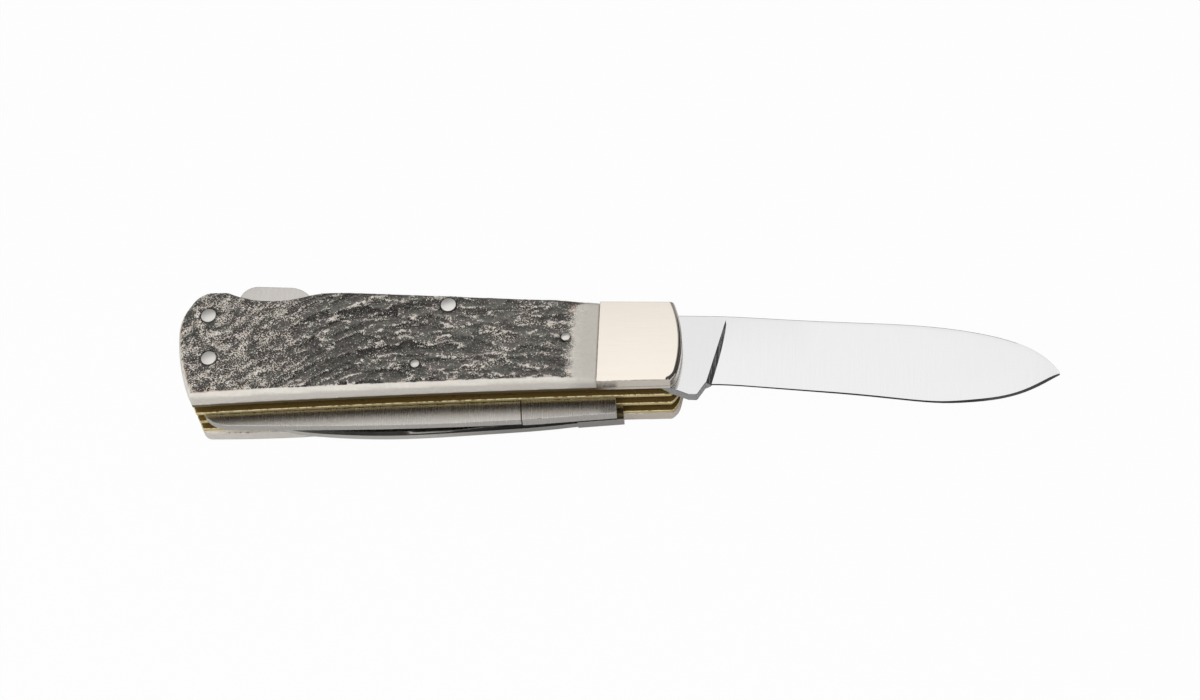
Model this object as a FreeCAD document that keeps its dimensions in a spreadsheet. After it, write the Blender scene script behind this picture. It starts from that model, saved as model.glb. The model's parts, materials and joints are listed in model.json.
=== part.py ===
import FreeCAD, Part
import math
import os

import Sketcher

# Folding hunting knife with a locking main blade, a saw and a gutting blade.
# Millimetres. The origin is on the pivot axis, at the outer face of the lower bolster.
# +X runs to the tip of the open main blade, +Y to the back of the handle, +Z through its thickness.

values = {
    # Layers of the handle.
    "bolster_thickness": 2.9,
    "scale_thickness": 4.0,
    "liner_thickness": 1.0,
    "slot_width": 2.7,
    "side_clearance": 0.05,
    # Outline of the handle, from the pivot.
    "handle_rear": 101.9,
    "back_height": 14.3,
    "belly_depth": 12.6,
    "lower_scale_swell": 0.45,
    "lower_heel_round": 2.0,
    "nose_reach": 9.36,
    "nose_back_height": 12.0,
    "nose_belly_depth": 7.85,
    "joint_reach": 8.85,
    "scoop_depth": 2.15,
    # Rounded edges and the ground slope of the scales, beside the bolsters.
    "scale_round": 1.2,
    "scale_slope_run": 10.0,
    "upper_bolster_round": 1.1,
    "lower_bolster_round": 0.3,
    # Pins and their holes.
    "pivot_radius": 2.2,
    "pivot_cover": 0.9,
    "pin_radius": 1.65,
    "scale_pin_radius": 0.95,
    "pin_dome": 0.15,
    "pin_clearance": 0.02,
    "running_clearance": 0.03,
    "rocker_pin_reach": 42.25,
    "rocker_pin_height": 10.7,
    "back_pin_inset": 6.2,
    "back_pin_height": 8.0,
    "belly_pin_inset": 7.6,
    "belly_pin_depth": 2.85,
    "front_scale_pin_reach": 15.9,
    "front_scale_pin_height": 2.55,
    "rear_scale_pin_reach": 48.5,
    "rear_scale_pin_depth": 4.2,
    # Blocks that close the slots at the rear.
    "block_length": 10.3,
    "block_depth": 5.4,
    # Main blade.
    "main_reach": 90.9,
    "main_spine_height": 10.8,
    "main_edge_depth": 10.4,
    "main_tang_radius": 6.2,
    "main_shoulder_reach": 5.0,
    "plunge_spine_reach": 18.65,
    "plunge_edge_reach": 14.55,
    "plunge_run": 1.2,
    "plunge_depth": 1.05,
    "kick_reach": 12.6,
    "kick_depth": 9.15,
    # Saw.
    "saw_reach": 98.0,
    "saw_back_height": 11.2,
    "saw_tooth_depth": 3.6,
    "saw_shoulder_reach": 5.8,
    "saw_fold_angle": 175.0,
    "saw_ground_start": 26.6,
    "saw_back_relief": 0.36,
    "tooth_pitch": 3.0,
    "tooth_height": 1.7,
    "tooth_start": 19.0,
    "tooth_count": 22,
    # Gutting blade.
    "gutting_reach": 86.0,
    "gutting_back_height": 11.0,
    "gutting_edge_depth": 3.4,
    "gutting_shoulder_reach": 4.4,
    "gutting_fold_angle": 175.0,
    "gutting_back_flat": 1.7,
    # Tangs of the two folded blades, with their spring flats.
    "tang_flat": 6.0,
    "tang_corner_radius": 7.0,
    "heel_reach": 10.5,
    # Edges of the ground blades.
    "bevel_thickness": 0.5,
    "edge_thickness": 0.08,
    # Lock bar, lock spring and the two back springs.
    "lock_clearance": 0.12,
    "lug_length": 3.9,
    "bar_underside": 8.35,
    "bar_boss_radius": 3.5,
    "bar_rear_underside": 10.7,
    "bar_rear_gap": 0.5,
    "pad_height": 18.45,
    "spring_clearance": 0.04,
    "spring_underside": 7.9,
    "spring_rear_underside": 9.0,
    "lock_spring_thickness": 1.3,
    "lock_spring_seat": 5.6,
    "lock_spring_socket": 1.6,
    "lock_spring_reach": 59.0,
    "lock_spring_tip": 3.0,
    # How far a cut runs past what it cuts, and how near an edge must lie to count as there.
    "overrun": 6.0,
    "match_distance": 0.01,
}

# Points of the handle's outline: shares of its rear reach with its back height or its belly depth.
back_shares = {
    "middle": (0.383, 0.923),
    "crest": (0.628, 1.0),
    "front_lip": (0.665, 1.0),
    "front_lip_turn": (0.700, 0.986),
    "scoop_front": (0.724, 0.950),
    "scoop_rear": (0.891, 0.960),
    "rear_lip_turn": (0.900, 0.988),
    "rear_lip": (0.911, 1.0),
    "heel_start": (0.937, 1.0),
    "heel_corner": (0.966, 0.919),
    "heel_back": (0.981, 0.773),
    "heel_high": (0.996, 0.536),
    "heel": (1.0, 0.271),
}
belly_shares = {
    "heel_low": (0.988, 0.310),
    "heel_belly": (0.958, 1.0),
    "middle": (0.405, 0.746),
}
# The same for the lower scale, which swells towards its heel.
lower_belly_shares = {
    "heel_low": (0.988, 0.310),
    "heel_belly": (0.958, 1.0),
    "swell": (0.849, 0.987),
    "swell_end": (0.741, 0.950),
    "middle": (0.405, 0.751),
}
# Points of the rounded front end: shares of its reach with its belly depth or its back height.
nose_belly_shares = {
    "belly": (0.742, 0.962),
    "corner": (0.8546, 0.8178),
    "front": (0.919, 0.637),
}
nose_back_shares = {
    "apex": (1.0, 0.125),
    "back": (0.796, 0.992),
}
scoop_centre_share = 0.803

# Sections of the main blade: shares of its reach, spine height, edge depth and thickness, and of the
# section's own height that the cutting bevel takes. The bevel widens towards the tip.
main_section_shares = [
    (0.157, 0.983, 0.587, 1.00, 0.014),
    (0.200, 0.977, 0.587, 1.00, 0.014),
    (0.387, 0.880, 0.716, 1.00, 0.015),
    (0.575, 0.807, 0.875, 0.96, 0.017),
    (0.729, 0.704, 1.000, 0.88, 0.022),
    (0.840, 0.532, 0.918, 0.74, 0.034),
    (0.917, 0.310, 0.721, 0.56, 0.055),
    (0.967, 0.028, 0.486, 0.38, 0.120),
    (0.996, -0.275, 0.333, 0.16, 0.500),
]
main_grind_share = 0.06
main_bevel_slope = 0.42
# Lower outline of the ricasso: shares of the kick's reach and depth.
ricasso_shares = {
    "belly": (0.525, 0.804),
    "kick_front": (0.860, 0.992),
    "kick_point": (1.022, 0.970),
    "tang": (0.127, 0.655),
}
plunge_edge_share = 0.597
plunge_spine_share = 0.9
plunge_ramp_share = 0.92

# Outline of the saw: shares of its reach with its back height or its tooth depth.
saw_back_shares = {
    "bend": (0.225, 1.0),
    "middle": (0.592, 0.866),
    "nose_top": (0.939, 0.616),
    "nose": (0.985, 0.375),
}
saw_tip_share = 0.13
saw_nose_share = 0.898
saw_relief_start_share = 0.1
saw_tooth_line_share = 0.155

# Sections of the gutting blade: shares of its reach, back height, edge depth and thickness.
gutting_section_shares = [
    (0.150, 0.985, 0.740, 1.00),
    (0.200, 0.991, 0.760, 1.00),
    (0.410, 1.000, 0.880, 1.00),
    (0.640, 0.955, 1.000, 1.00),
    (0.800, 0.818, 0.940, 0.94),
    (0.900, 0.664, 0.740, 0.82),
    (0.965, 0.440, 0.420, 0.62),
    (0.996, 0.150, 0.060, 0.40),
]
gutting_shoulder_share = 0.06
gutting_grind_share = 0.38
gutting_bevel_share = 0.06
gutting_ricasso_share = 0.17

# Outline of the lock bar and its thumb pad: shares of the rear reach and of the pad's height.
pad_shares = {
    "rear": (0.889, 0.760),
    "rear_round": (0.879, 0.932),
    "rear_top": (0.852, 1.0),
    "front_top": (0.775, 0.986),
    "front_round": (0.745, 0.927),
    "front": (0.721, 0.760),
}
bar_boss_run_share = 2.2

# Undersides of the back springs: shares of the rear reach.
spring_shares = {
    "seat_end": 0.083,
    "front_end": 0.150,
    "middle": 0.440,
    "thin": 0.600,
}
block_step_share = 0.6
lock_spring_bend_share = 0.79

# Where the arc of a domed end is fixed: a share of the pin's radius.
dome_width_share = 0.5

# Half of a right angle, in degrees.
diagonal_angle = 45

doc = FreeCAD.newDocument("FoldingKnife")
sheet = doc.addObject("Spreadsheet::Sheet", "Sizes")
parts = []


class Size:
    """A number, with the sheet expression that gives it."""

    def __init__(self, value, text):
        self.value = value
        self.text = text

    def __add__(self, other):
        other = as_size(other)
        return Size(self.value + other.value, f"({self.text} + {other.text})")

    def __sub__(self, other):
        other = as_size(other)
        return Size(self.value - other.value, f"({self.text} - {other.text})")

    def __mul__(self, other):
        other = as_size(other)
        return Size(self.value * other.value, f"({self.text} * {other.text})")

    def __truediv__(self, other):
        other = as_size(other)
        return Size(self.value / other.value, f"({self.text} / {other.text})")

    def __neg__(self):
        return Size(-self.value, f"(-1 * {self.text})")


class Through:
    """A point that an arc passes through, between the corners before and after it."""

    def __init__(self, point):
        self.point = point


def as_size(number):
    if isinstance(number, Size):
        return number
    return Size(float(number), f"({float(number)!r})")


def root(size):
    return Size(math.sqrt(size.value), f"sqrt({size.text})")


def cosine(angle):
    return Size(math.cos(math.radians(angle.value)), f"cos({angle.text} * 1 deg)")


def sine(angle):
    return Size(math.sin(math.radians(angle.value)), f"sin({angle.text} * 1 deg)")


def fill_sheet():
    """Write the driving sizes into the sheet, one row each."""
    for row, (alias, value) in enumerate(values.items(), start=1):
        sheet.set(f"A{row}", alias)
        sheet.set(f"B{row}", str(value))
        sheet.setAlias(f"B{row}", alias)
    doc.recompute()


def size(alias):
    """The sheet's value of that name."""
    return Size(float(sheet.get(alias)), f"Sizes.{alias}")


def new_body(label):
    body = doc.addObject("PartDesign::Body", label)
    body.Label = label
    parts.append(body)
    return body


def new_sketch(body, name, role, offset):
    """A sketch on one of the body's own origin planes, moved along its normal."""
    sketch = body.newObject("Sketcher::SketchObject", name)
    plane = next(item for item in body.Origin.OriginFeatures if item.Role == role)
    sketch.AttachmentSupport = [(plane, "")]
    sketch.MapMode = "FlatFace"
    sketch.setExpression("AttachmentOffset.Base.z", as_size(offset).text)
    return sketch


def vector(point):
    return FreeCAD.Vector(as_size(point[0]).value, as_size(point[1]).value, 0)


def place(sketch, geometry, position, point):
    """Tie one point of the sketch to its two sizes."""
    axes = [("DistanceX", point[0], -2), ("DistanceY", point[1], -1)]
    for kind, coordinate, axis in axes:
        coordinate = as_size(coordinate)
        if coordinate.value == 0:
            sketch.addConstraint(Sketcher.Constraint("PointOnObject", geometry, position, axis))
            continue
        constraint = Sketcher.Constraint(kind, -1, 1, geometry, position, coordinate.value)
        index = sketch.addConstraint(constraint)
        sketch.setExpression(f"Constraints[{index}]", coordinate.text)


def add_arc(sketch, start, middle, end):
    """An arc through three points. Gives its geometry and which of its ends is the start."""
    points = [vector(start), vector(middle), vector(end)]
    turn = (points[1] - points[0]).cross(points[2] - points[1]).z
    if turn < 0:
        points.reverse()
    arc = sketch.addGeometry(Part.Arc(*points))
    mark = sketch.addGeometry(Part.Point(vector(middle)), True)
    place(sketch, mark, 1, middle)
    sketch.addConstraint(Sketcher.Constraint("PointOnObject", mark, 1, arc))
    if turn < 0:
        return arc, 2, 1
    return arc, 1, 2


def draw(sketch, path):
    """A closed outline of lines and arcs, each corner tied to its sizes."""
    corners = [step for step in path if not isinstance(step, Through)]
    sides = []
    for index, step in enumerate(path):
        if isinstance(step, Through):
            continue
        following = path[(index + 1) % len(path)]
        if isinstance(following, Through):
            end = path[(index + 2) % len(path)]
            sides.append(add_arc(sketch, step, following.point, end))
        else:
            line = sketch.addGeometry(Part.LineSegment(vector(step), vector(following)))
            sides.append((line, 1, 2))
    for index, (side, start, end) in enumerate(sides):
        before, before_start, before_end = sides[index - 1]
        sketch.addConstraint(Sketcher.Constraint("Coincident", before, before_end, side, start))
        place(sketch, side, start, corners[index])


def outline(body, name, offset, path, role="XY_Plane"):
    sketch = new_sketch(body, name, role, offset)
    draw(sketch, path)
    return sketch


def circles(body, name, offset, rounds):
    """A sketch of circles, each given by its centre and its radius."""
    sketch = new_sketch(body, name, "XY_Plane", offset)
    for centre, radius in rounds:
        circle = Part.Circle(vector(centre), FreeCAD.Vector(0, 0, 1), radius.value)
        geometry = sketch.addGeometry(circle)
        place(sketch, geometry, 3, centre)
        index = sketch.addConstraint(Sketcher.Constraint("Radius", geometry, radius.value))
        sketch.setExpression(f"Constraints[{index}]", radius.text)
    return sketch


def pad(body, sketch, length, reverse=False):
    feature = body.newObject("PartDesign::Pad", "Pad")
    feature.Profile = sketch
    feature.Reversed = reverse
    feature.setExpression("Length", length.text)
    return feature


def cut(body, sketch, length):
    """A pocket that runs the given length to both sides of its sketch."""
    feature = body.newObject("PartDesign::Pocket", "Cut")
    feature.Profile = sketch
    feature.SideType = "Symmetric"
    feature.setExpression("Length", (length * 2).text)
    return feature


def chosen_edges(body, chosen):
    """The body's last feature, with the names of its edges for which the given test holds."""
    doc.recompute()
    base = body.Tip
    names = []
    for index, edge in enumerate(base.Shape.Edges, start=1):
        if chosen(edge):
            names.append(f"Edge{index}")
    return base, names


def round_edges(body, radius, chosen):
    base, names = chosen_edges(body, chosen)
    feature = body.newObject("PartDesign::Fillet", "Round")
    feature.Base = (base, names)
    feature.setExpression("Radius", radius.text)


def ramp_edges(body, run, depth, chosen):
    """Cut edges back to a slope, which runs back along the flat face and down the wall."""
    base, names = chosen_edges(body, chosen)
    feature = body.newObject("PartDesign::Chamfer", "Ramp")
    feature.Base = (base, names)
    feature.ChamferType = "Two distances"
    feature.setExpression("Size", depth.text)
    feature.setExpression("Size2", run.text)


fill_sheet()
sizes = {alias: size(alias) for alias in values}

# Heights of the layers.
bolster = sizes["bolster_thickness"]
scale = sizes["scale_thickness"]
liner = sizes["liner_thickness"]
slot = sizes["slot_width"]
lower_liner_level = bolster
gutting_slot_level = lower_liner_level + liner
gutting_liner_level = gutting_slot_level + slot
saw_slot_level = gutting_liner_level + liner
saw_liner_level = saw_slot_level + slot
main_slot_level = saw_liner_level + liner
upper_liner_level = main_slot_level + slot
upper_level = upper_liner_level + liner
top_level = upper_level + scale
blade_thickness = slot - sizes["side_clearance"] * 2
all_layers = top_level + scale + sizes["overrun"]

rear = sizes["handle_rear"]
back = sizes["back_height"]
belly = sizes["belly_depth"]
overrun = sizes["overrun"]
near = sizes["match_distance"].value
pin_hole = sizes["pin_radius"] + sizes["pin_clearance"]
scale_pin_hole = sizes["scale_pin_radius"] + sizes["pin_clearance"]
pivot_hole = sizes["pivot_radius"] + sizes["pin_clearance"]
turning_hole = sizes["pivot_radius"] + sizes["running_clearance"]

pivot = (0, 0)
rocker_pin = (-sizes["rocker_pin_reach"], sizes["rocker_pin_height"])
back_pin = (-(rear - sizes["back_pin_inset"]), sizes["back_pin_height"])
belly_pin = (-(rear - sizes["belly_pin_inset"]), -sizes["belly_pin_depth"])
front_scale_pin = (-sizes["front_scale_pin_reach"], sizes["front_scale_pin_height"])
rear_scale_pin = (-sizes["rear_scale_pin_reach"], -sizes["rear_scale_pin_depth"])
frame_pins = [rocker_pin, back_pin, belly_pin]
scale_pins = [front_scale_pin, rear_scale_pin]
block_front = rear - sizes["block_length"]


def back_point(name):
    reach, height = back_shares[name]
    return (-(rear * reach), back * height)


def belly_point(name):
    reach, depth = belly_shares[name]
    return (-(rear * reach), -(belly * depth))


def lower_belly_point(name):
    reach, depth = lower_belly_shares[name]
    return (-(rear * reach), -((belly + sizes["lower_scale_swell"]) * depth))


def nose_belly_point(name):
    reach, depth = nose_belly_shares[name]
    return (sizes["nose_reach"] * reach, -(sizes["nose_belly_depth"] * depth))


def nose_back_point(name):
    reach, height = nose_back_shares[name]
    return (sizes["nose_reach"] * reach, sizes["nose_back_height"] * height)


def straight_belly():
    return [
        Through(belly_point("heel_low")),
        belly_point("heel_belly"),
        Through(belly_point("middle")),
    ]


def swollen_belly():
    return [
        Through(lower_belly_point("heel_low")),
        lower_belly_point("heel_belly"),
        Through(lower_belly_point("swell")),
        lower_belly_point("swell_end"),
        Through(lower_belly_point("middle")),
    ]


def handle_outline(with_scoop=True, swollen=False):
    """Outline of the handle in plan, with or without the thumb scoop and the lower scale's swell."""
    path = [
        nose_back_point("back"),
        (-sizes["joint_reach"], sizes["nose_back_height"]),
        Through(back_point("middle")),
        back_point("crest"),
    ]
    if with_scoop:
        path += [
            back_point("front_lip"),
            Through(back_point("front_lip_turn")),
            back_point("scoop_front"),
            Through((-(rear * scoop_centre_share), back - sizes["scoop_depth"])),
            back_point("scoop_rear"),
            Through(back_point("rear_lip_turn")),
            back_point("rear_lip"),
        ]
    path += [
        back_point("heel_start"),
        Through(back_point("heel_corner")),
        back_point("heel_back"),
        Through(back_point("heel_high")),
        back_point("heel"),
    ]
    path += swollen_belly() if swollen else straight_belly()
    path += [
        nose_belly_point("belly"),
        Through(nose_belly_point("corner")),
        nose_belly_point("front"),
        Through(nose_back_point("apex")),
    ]
    return path


def handle_layer(label, level, thickness, reverse=False, with_scoop=True, swollen=False):
    """A body of the handle's whole outline, one layer thick."""
    body = new_body(label)
    pad(body, outline(body, "Outline", level, handle_outline(with_scoop, swollen)), thickness, reverse)
    return body


def drill(body, level, rounds):
    cut(body, circles(body, "Holes", level, rounds), all_layers)


def make_liner(label, level, held_pins):
    body = handle_layer(label, level, liner)
    rounds = [(pivot, pivot_hole)]
    rounds += [(pin, pin_hole) for pin in frame_pins]
    rounds += [(pin, scale_pin_hole) for pin in held_pins]
    drill(body, level, rounds)


def make_scale(label, level, outward, swollen):
    """A scale, ground down to the bolster at its front end and rounded outside."""
    body = handle_layer(label, level, scale, outward < 0, swollen=swollen)

    heel_corner = vector(lower_belly_point("heel_belly"))

    def is_heel(edge):
        ends = [vertex.Point for vertex in edge.Vertexes]
        upright = abs(ends[0].z - ends[-1].z) > near
        return upright and edge.CenterOfMass.distanceToPoint(heel_corner) < scale.value

    if swollen:
        round_edges(body, sizes["lower_heel_round"], is_heel)
    joint = -sizes["joint_reach"]
    front_trim = [
        (joint, back + overrun),
        (joint, -(belly + overrun)),
        (sizes["nose_reach"] + overrun, -(belly + overrun)),
        (sizes["nose_reach"] + overrun, back + overrun),
    ]
    cut(body, outline(body, "FrontTrim", level, front_trim), all_layers)
    low = level + bolster * outward
    high = level + scale * outward
    slope = [
        (joint, low),
        (joint - sizes["scale_slope_run"], high),
        (joint - sizes["scale_slope_run"], high + overrun * outward),
        (joint + overrun, high + overrun * outward),
        (joint + overrun, low),
    ]
    cut(body, outline(body, "Slope", 0, slope, "XZ_Plane"), back + belly)

    def is_outer(edge):
        ends = [vertex.Point for vertex in edge.Vertexes]
        outside = [abs(point.z - level.value) > bolster.value - near for point in ends]
        behind = edge.CenterOfMass.x < joint.value - near
        across = abs(ends[0].x - ends[-1].x) < near
        return all(outside) and behind and not across

    round_edges(body, sizes["scale_round"], is_outer)
    rounds = [(pin, pin_hole) for pin in frame_pins]
    rounds += [(pin, scale_pin_hole) for pin in scale_pins]
    drill(body, level, rounds)


def make_bolster(label, level, outward, front_round):
    """A bolster, rounded at its front end, with a blind hole for the pivot."""
    body = handle_layer(label, level, bolster, outward < 0, with_scoop=False)
    joint = -sizes["joint_reach"]
    rear_trim = [
        (joint, back + overrun),
        (joint, -(belly + overrun)),
        (-(rear + overrun), -(belly + overrun)),
        (-(rear + overrun), back + overrun),
    ]
    cut(body, outline(body, "RearTrim", level, rear_trim), all_layers)
    face = (level + bolster * outward).value

    def is_front(edge):
        flat = all(abs(vertex.Point.z - face) < near for vertex in edge.Vertexes)
        return flat and edge.CenterOfMass.x > nose_belly_point("belly")[0].value

    round_edges(body, front_round, is_front)
    hole = circles(body, "PivotSeat", level, [(pivot, pivot_hole)])
    cut(body, hole, bolster - sizes["pivot_cover"])


def make_back_spring(label, slot_level, shoulder):
    """A back spring: its front end bears on the tang, its rear end closes the slot."""
    level = slot_level + sizes["side_clearance"]
    body = handle_layer(label, level, blade_thickness)
    top = sizes["pad_height"] + overrun
    bottom = -(belly + overrun)
    seat = sizes["tang_flat"] + sizes["spring_clearance"]
    front = shoulder - sizes["spring_clearance"]
    step = block_front - sizes["block_depth"] * block_step_share
    room = [
        (front, top),
        (front, seat),
        (-(rear * spring_shares["seat_end"]), seat),
        (-(rear * spring_shares["front_end"]), sizes["spring_underside"]),
        (-(rear * spring_shares["middle"]), sizes["spring_underside"]),
        (-(rear * spring_shares["thin"]), sizes["spring_rear_underside"]),
        (-step, sizes["spring_rear_underside"]),
        (-block_front, sizes["lock_spring_seat"]),
        (-block_front, -sizes["block_depth"]),
        (-(rear + overrun), -sizes["block_depth"]),
        (-(rear + overrun), bottom),
        (sizes["nose_reach"] + overrun, bottom),
        (sizes["nose_reach"] + overrun, top),
    ]
    cut(body, outline(body, "Room", level, room), all_layers)
    drill(body, level, [(pin, pin_hole) for pin in frame_pins])


def lock_face(face_radius, height):
    """A point at that height on the lock face, which is an arc about the rocker pin."""
    rise = height - sizes["rocker_pin_height"]
    return (root(face_radius * face_radius - rise * rise) - sizes["rocker_pin_reach"], height)


def lock_corner(face_radius, tang_radius):
    """Where the lock face meets a circle about the pivot, in front of the pivot."""
    reach = sizes["rocker_pin_reach"]
    height = sizes["rocker_pin_height"]
    apart = root(reach * reach + height * height)
    square = tang_radius * tang_radius
    along = (square - face_radius * face_radius + apart * apart) / (apart * 2)
    across = root(square - along * along)
    x = (across * height - along * reach) / apart
    y = (along * height + across * reach) / apart
    return (x, y)


def make_lock_spacer():
    """Block at the rear of the main slot, with the socket that holds the lock spring."""
    level = main_slot_level + sizes["side_clearance"]
    body = handle_layer("lock_spacer", level, blade_thickness)
    top = back + overrun
    bottom = -(belly + overrun)
    room = [
        (-block_front, top),
        (-block_front, -sizes["block_depth"]),
        (-(rear + overrun), -sizes["block_depth"]),
        (-(rear + overrun), bottom),
        (sizes["nose_reach"] + overrun, bottom),
        (sizes["nose_reach"] + overrun, top),
    ]
    cut(body, outline(body, "Room", level, room), all_layers)
    gap = sizes["pin_clearance"]
    low = sizes["lock_spring_seat"] - gap
    high = sizes["lock_spring_seat"] + sizes["lock_spring_thickness"] + gap
    socket_end = -(block_front + sizes["lock_spring_socket"] + gap)
    socket = [
        (-block_front + overrun, low),
        (-block_front + overrun, high),
        (socket_end, high),
        (socket_end, low),
    ]
    cut(body, outline(body, "Socket", level, socket), all_layers)
    drill(body, level, [(back_pin, pin_hole), (belly_pin, pin_hole)])


def make_lock_bar():
    """Lock bar: the lug at its front drops behind the blade's shoulder, the pad at its rear lifts it."""
    level = main_slot_level + sizes["side_clearance"]
    body = handle_layer("lock_bar", level, blade_thickness, with_scoop=False)
    top = sizes["pad_height"] + overrun
    bottom = -(belly + overrun)
    face = sizes["rocker_pin_reach"] + sizes["main_shoulder_reach"] - sizes["lock_clearance"]
    lug_radius = sizes["main_tang_radius"] + sizes["lock_clearance"]
    lug_corner = lock_corner(face, lug_radius)
    lug_rear = lug_corner[0] - sizes["lug_length"]
    lug_middle = lug_corner[0] - sizes["lug_length"] / 2
    underside = sizes["bar_underside"]
    boss_run = sizes["bar_boss_radius"] * bar_boss_run_share
    boss_low = sizes["rocker_pin_height"] - sizes["bar_boss_radius"]
    bar_rear = block_front - sizes["bar_rear_gap"]
    room = [
        lock_face(face, top),
        Through(lock_face(face, underside)),
        lug_corner,
        Through((lug_middle, root(lug_radius * lug_radius - lug_middle * lug_middle))),
        (lug_rear, root(lug_radius * lug_radius - lug_rear * lug_rear)),
        (lug_rear, underside),
        (-(sizes["rocker_pin_reach"] - boss_run), underside),
        (-(sizes["rocker_pin_reach"] - sizes["bar_boss_radius"]), boss_low),
        (-(sizes["rocker_pin_reach"] + sizes["bar_boss_radius"]), boss_low),
        (-(sizes["rocker_pin_reach"] + boss_run), sizes["bar_rear_underside"]),
        (-bar_rear, sizes["bar_rear_underside"]),
        (-bar_rear, top),
        (-(rear + overrun), top),
        (-(rear + overrun), bottom),
        (sizes["nose_reach"] + overrun, bottom),
        (sizes["nose_reach"] + overrun, top),
    ]
    cut(body, outline(body, "Room", level, room), all_layers)

    def pad_point(name):
        reach, height = pad_shares[name]
        return (-(rear * reach), sizes["pad_height"] * height)

    thumb_pad = [
        pad_point("rear"),
        Through(pad_point("rear_round")),
        pad_point("rear_top"),
        pad_point("front_top"),
        Through(pad_point("front_round")),
        pad_point("front"),
    ]
    pad(body, outline(body, "ThumbPad", level, thumb_pad), blade_thickness)
    drill(body, level, [(rocker_pin, sizes["pin_radius"] + sizes["running_clearance"])])


def make_lock_spring():
    """Flat spring that lifts the rear of the lock bar, held in the rear spacer."""
    level = main_slot_level + sizes["side_clearance"]
    body = new_body("lock_spring")
    thickness = sizes["lock_spring_thickness"]
    seat = sizes["lock_spring_seat"]
    held = -(block_front + sizes["lock_spring_socket"])
    bend = -(rear * lock_spring_bend_share)
    tip = -sizes["lock_spring_reach"]
    heel = tip - sizes["lock_spring_tip"]
    lifted = sizes["bar_rear_underside"] - sizes["spring_clearance"]
    path = [
        (held, seat),
        (bend, seat),
        (heel, lifted - thickness),
        (tip, lifted - thickness),
        (tip, lifted),
        (heel, lifted),
        (bend, seat + thickness),
        (held, seat + thickness),
    ]
    pad(body, outline(body, "Strip", level, path), blade_thickness)


def loft(body, sections, middle_level, place_section):
    """A blade lofted through cross-sections along X."""
    sketches = []
    for section in sections:
        reach, corners = place_section(section)
        upper = [(y, middle_level + half) for y, half in corners]
        lower = [(y, middle_level - half) for y, half in reversed(corners)]
        sketches.append(outline(body, "Section", reach, upper + lower, "YZ_Plane"))
    feature = body.newObject("PartDesign::AdditiveLoft", "Grind")
    feature.Profile = sketches[0]
    feature.Sections = sketches[1:]
    return feature


def make_main_blade():
    """Main blade, modelled open: tang and ricasso at full thickness, then the ground blade."""
    level = main_slot_level + sizes["side_clearance"]
    body = new_body("main_blade")
    face = sizes["rocker_pin_reach"] + sizes["main_shoulder_reach"]
    radius = sizes["main_tang_radius"]
    spine = sizes["main_spine_height"]

    def ricasso_point(name):
        reach, depth = ricasso_shares[name]
        return (sizes["kick_reach"] * reach, -(sizes["kick_depth"] * depth))

    tang_reach = sizes["kick_reach"] * ricasso_shares["tang"][0]
    plunge_foot = sizes["plunge_edge_reach"] + sizes["plunge_run"]
    plunge_edge = -(sizes["main_edge_depth"] * plunge_edge_share)
    path = [
        lock_face(face, spine),
        (sizes["plunge_spine_reach"], spine * main_section_shares[1][1]),
        (sizes["plunge_spine_reach"] + sizes["plunge_run"], spine * plunge_spine_share),
        (plunge_foot, plunge_edge),
        (sizes["plunge_edge_reach"], plunge_edge),
        ricasso_point("kick_point"),
        (sizes["kick_reach"], -sizes["kick_depth"]),
        ricasso_point("kick_front"),
        ricasso_point("belly"),
        (tang_reach, -root(radius * radius - tang_reach * tang_reach)),
        Through((-radius, 0)),
        lock_corner(face, radius),
        Through(lock_face(face, sizes["bar_underside"])),
    ]
    pad(body, outline(body, "Tang", level, path), blade_thickness)

    def is_plunge(edge):
        ends = [vertex.Point for vertex in edge.Vertexes]
        across = abs(ends[0].z - ends[-1].z) < near
        ahead = all(point.x > plunge_foot.value - near for point in ends)
        low = min(point.y for point in ends)
        return across and ahead and low < 0

    ramp_edges(body, sizes["plunge_run"] * plunge_ramp_share, sizes["plunge_depth"], is_plunge)

    def place_section(section):
        reach_share, spine_share, edge_share, thickness_share, bevel_share = section
        top = spine * spine_share
        edge = -(sizes["main_edge_depth"] * edge_share)
        height = top - edge
        half = blade_thickness * thickness_share / 2
        bevel = height * bevel_share
        thin = sizes["edge_thickness"] / 2
        return sizes["main_reach"] * reach_share, [
            (top, half),
            (top - height * main_grind_share, half),
            (edge + bevel, thin + bevel * main_bevel_slope),
            (edge, thin),
        ]

    loft(body, main_section_shares, level + blade_thickness / 2, place_section)
    drill(body, level, [(pivot, turning_hole)])


def tang_path(shoulder, spine, fold_angle, heel_edge):
    """Tang of a folded blade, modelled open: flats for open, half open and folded, then the heel."""
    flat = sizes["tang_flat"]
    half_flat = root(sizes["tang_corner_radius"] * sizes["tang_corner_radius"] - flat * flat)
    diagonal = sizes["tang_corner_radius"] * cosine(as_size(diagonal_angle))
    # Outward and along directions of the flat that meets the spring when the blade is folded.
    out_x = -sine(fold_angle)
    out_y = cosine(fold_angle)
    start = (flat * out_x + half_flat * out_y, flat * out_y - half_flat * out_x)
    end = (flat * out_x - half_flat * out_y, flat * out_y + half_flat * out_x)
    corner = ((start[0] - flat) / 2, (start[1] - half_flat) / 2)
    stretch = sizes["tang_corner_radius"] / root(corner[0] * corner[0] + corner[1] * corner[1])
    heel_depth = flat * out_y + half_flat * out_x
    return [
        (shoulder, spine),
        (shoulder, flat),
        (-half_flat, flat),
        Through((-diagonal, diagonal)),
        (-flat, half_flat),
        (-flat, -half_flat),
        Through((corner[0] * stretch, corner[1] * stretch)),
        start,
        end,
        (sizes["heel_reach"], heel_depth),
        heel_edge,
    ]


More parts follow.
